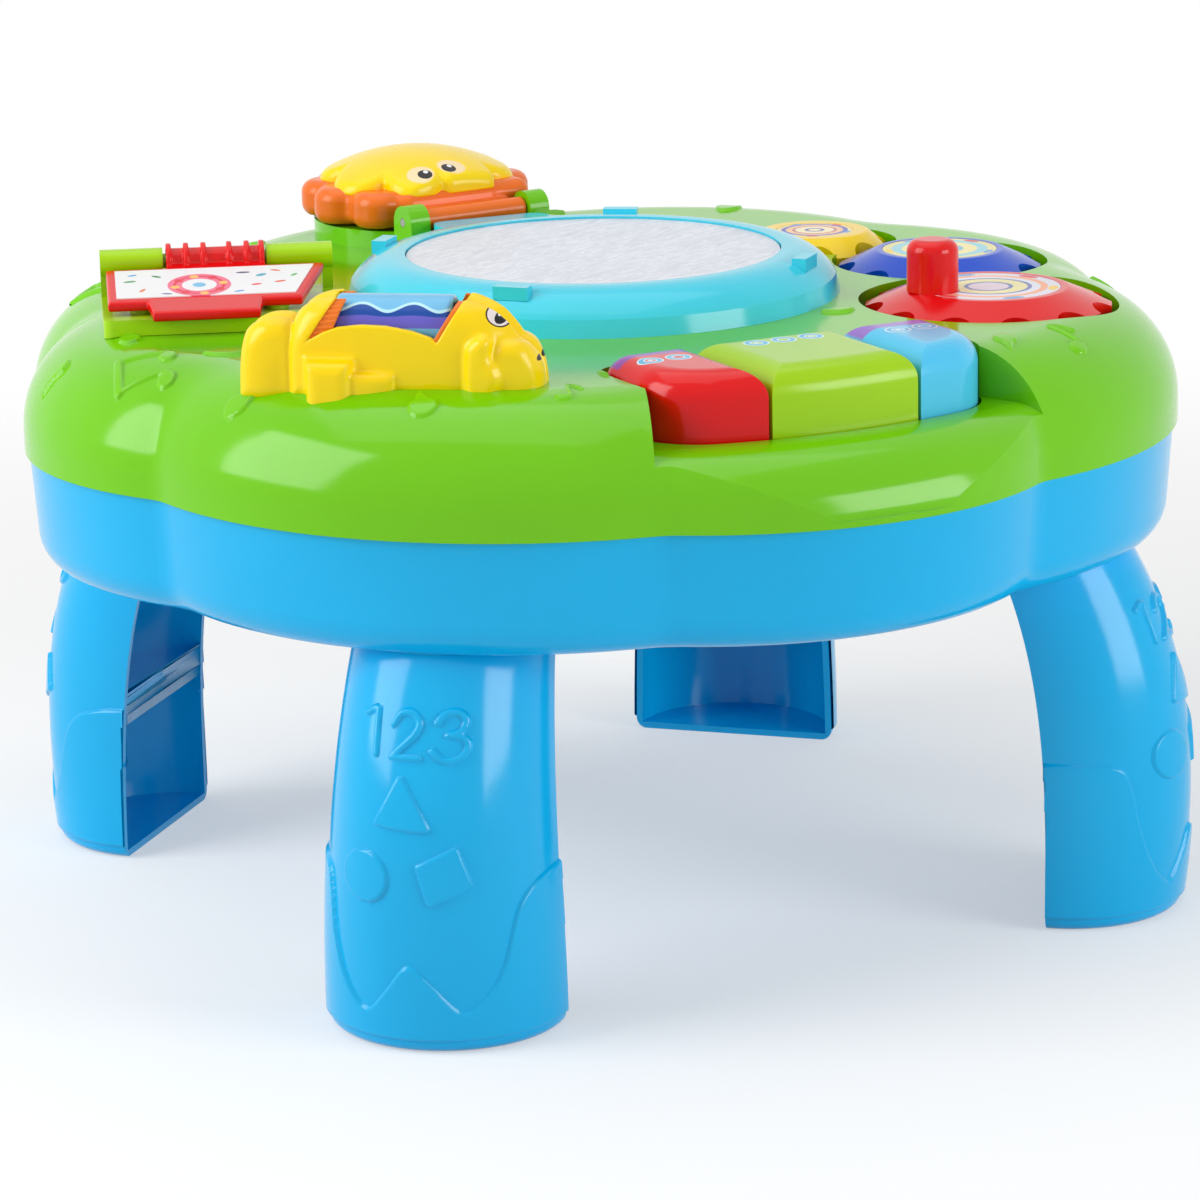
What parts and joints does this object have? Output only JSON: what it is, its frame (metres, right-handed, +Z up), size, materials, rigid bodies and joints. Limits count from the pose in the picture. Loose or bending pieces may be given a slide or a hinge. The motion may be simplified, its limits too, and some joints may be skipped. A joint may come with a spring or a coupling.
{
  "type": "musical activity table",
  "caption": "Low round activity table for a baby, with a press drum, piano keys, meshing toy gears, a roller animal, a turning page and a lifting lion on detachable legs.",
  "frame": {"origin": "on the floor under the middle of the table", "axes": "+Z up; the piano keys face -Y; +X is to the right of someone who faces the keys"},
  "size_m": [0.3994, 0.4, 0.237],
  "materials": {
    "green_plastic": "glossy moulded ABS, grass green",
    "blue_plastic": "glossy moulded ABS, sky blue",
    "turquoise_plastic": "glossy moulded ABS, turquoise",
    "white_plastic": "pearly white translucent plastic",
    "red_plastic": "glossy moulded ABS, red",
    "lime_plastic": "glossy moulded ABS, lime",
    "light_blue_plastic": "glossy moulded ABS, light blue",
    "deep_blue_plastic": "glossy moulded ABS, deep blue",
    "yellow_plastic": "glossy moulded ABS, yellow",
    "orange_plastic": "glossy moulded ABS, orange",
    "label_paper": "printed plastic label",
    "zinc_steel": "zinc-plated steel",
    "grey_rubber": "moulded silicone rubber",
    "board_green": "glass-fibre circuit board",
    "black_plastic": "matt black plastic",
    "cell_metal": "printed steel can"
  },
  "bodies": {
    "table": {"top_shell": "green_plastic", "base_shell": "blue_plastic", "leg_front_left": "blue_plastic", "leg_front_right": "blue_plastic", "leg_rear_left": "blue_plastic", "leg_rear_right": "blue_plastic", "drum_ring": "turquoise_plastic", "drum_light_board": "board_green", "drum_contact_domes": "grey_rubber", "drum_ring_screws": "zinc_steel", "key_axle": "zinc_steel", "key_board": "board_green", "key_red_dome": "grey_rubber", "key_green_dome": "grey_rubber", "key_blue_dome": "grey_rubber", "elephant_body": "yellow_plastic", "elephant_roller_axle": "zinc_steel", "elephant_screws": "zinc_steel", "book_base": "lime_plastic", "book_rod": "lime_plastic", "book_screws": "zinc_steel", "lion_ears": "green_plastic", "lion_pin": "zinc_steel", "main_board": "board_green", "board_screws": "zinc_steel", "speaker": "black_plastic", "battery_case": "blue_plastic", "batteries": "cell_metal", "battery_contacts": "zinc_steel", "battery_door": "blue_plastic", "battery_door_screw": "zinc_steel", "power_switch_body": "black_plastic", "shell_screws": "zinc_steel"},
    "drum_head": {"drum_head": "white_plastic"},
    "key_red": {"key_red": "red_plastic"},
    "key_green": {"key_green": "lime_plastic"},
    "key_blue": {"key_blue": "light_blue_plastic"},
    "gear_red": {"gear_red": "red_plastic", "gear_red_label": "label_paper", "gear_red_screw": "zinc_steel", "gear_handle": "red_plastic"},
    "gear_blue": {"gear_blue": "deep_blue_plastic", "gear_blue_label": "label_paper", "gear_blue_screw": "zinc_steel"},
    "gear_yellow": {"gear_yellow": "yellow_plastic", "gear_yellow_label": "label_paper", "gear_yellow_screw": "zinc_steel"},
    "elephant_roller": {"elephant_roller": "light_blue_plastic"},
    "book_page": {"book_page": "red_plastic", "book_page_label": "label_paper"},
    "lion_lid": {"lion_mane": "orange_plastic", "lion_face": "yellow_plastic"},
    "switch_knob": {"power_switch_knob": "black_plastic"}
  },
  "joints": [
    {"name": "drum_press", "type": "slide", "parent": "table", "child": "drum_head", "axis": [0, 0, 1], "range_m": [-0.002, 0], "stiffness_N_per_m": 2000, "springref_m": 0.0005, "deforming": ["drum_contact_domes"]},
    {"name": "key_red_press", "type": "hinge", "parent": "table", "child": "key_red", "pos_m": [0, -0.107, 0.1935], "axis": [1, 0, 0], "range_deg": [0, 4], "stiffness_Nm_per_rad": 0.8, "springref_deg": -1.72, "deforming": ["key_red_dome"]},
    {"name": "key_green_press", "type": "hinge", "parent": "table", "child": "key_green", "pos_m": [0, -0.107, 0.1935], "axis": [1, 0, 0], "range_deg": [0, 4], "stiffness_Nm_per_rad": 0.8, "springref_deg": -1.72, "deforming": ["key_green_dome"]},
    {"name": "key_blue_press", "type": "hinge", "parent": "table", "child": "key_blue", "pos_m": [0, -0.107, 0.1935], "axis": [1, 0, 0], "range_deg": [0, 4], "stiffness_Nm_per_rad": 0.8, "springref_deg": -1.72, "deforming": ["key_blue_dome"]},
    {"name": "gear_red_turn", "type": "hinge", "parent": "table", "child": "gear_red", "pos_m": [0.106, -0.085, 0.2], "axis": [0, 0, 1], "continuous": true},
    {"name": "gear_blue_turn", "type": "hinge", "parent": "table", "child": "gear_blue", "pos_m": [0.12973, -0.01491, 0.2], "axis": [0, 0, 1], "continuous": true},
    {"name": "gear_yellow_turn", "type": "hinge", "parent": "table", "child": "gear_yellow", "pos_m": [0.11183, 0.04184, 0.2], "axis": [0, 0, 1], "continuous": true},
    {"name": "roller_spin", "type": "hinge", "parent": "table", "child": "elephant_roller", "pos_m": [-0.121, -0.0995, 0.2225], "axis": [0.7986, -0.6018, 0], "continuous": true},
    {"name": "page_turn", "type": "hinge", "parent": "table", "child": "book_page", "pos_m": [-0.12243, 0.04554, 0.2215], "axis": [-0.9336, 0.3584, 0], "range_deg": [0, 160]},
    {"name": "lion_lift", "type": "hinge", "parent": "table", "child": "lion_lid", "pos_m": [0.00397, 0.10221, 0.2165], "axis": [0.9945, 0.1045, 0], "range_deg": [0, 70]},
    {"name": "power_slide", "type": "slide", "parent": "table", "child": "switch_knob", "axis": [1, 0, 0], "range_m": [0, 0.006]}
  ],
  "couplings": [
    {"joint": "gear_blue_turn", "follows": "gear_red_turn", "ratio": -1.2},
    {"joint": "gear_yellow_turn", "follows": "gear_red_turn", "ratio": 1.5}
  ]
}
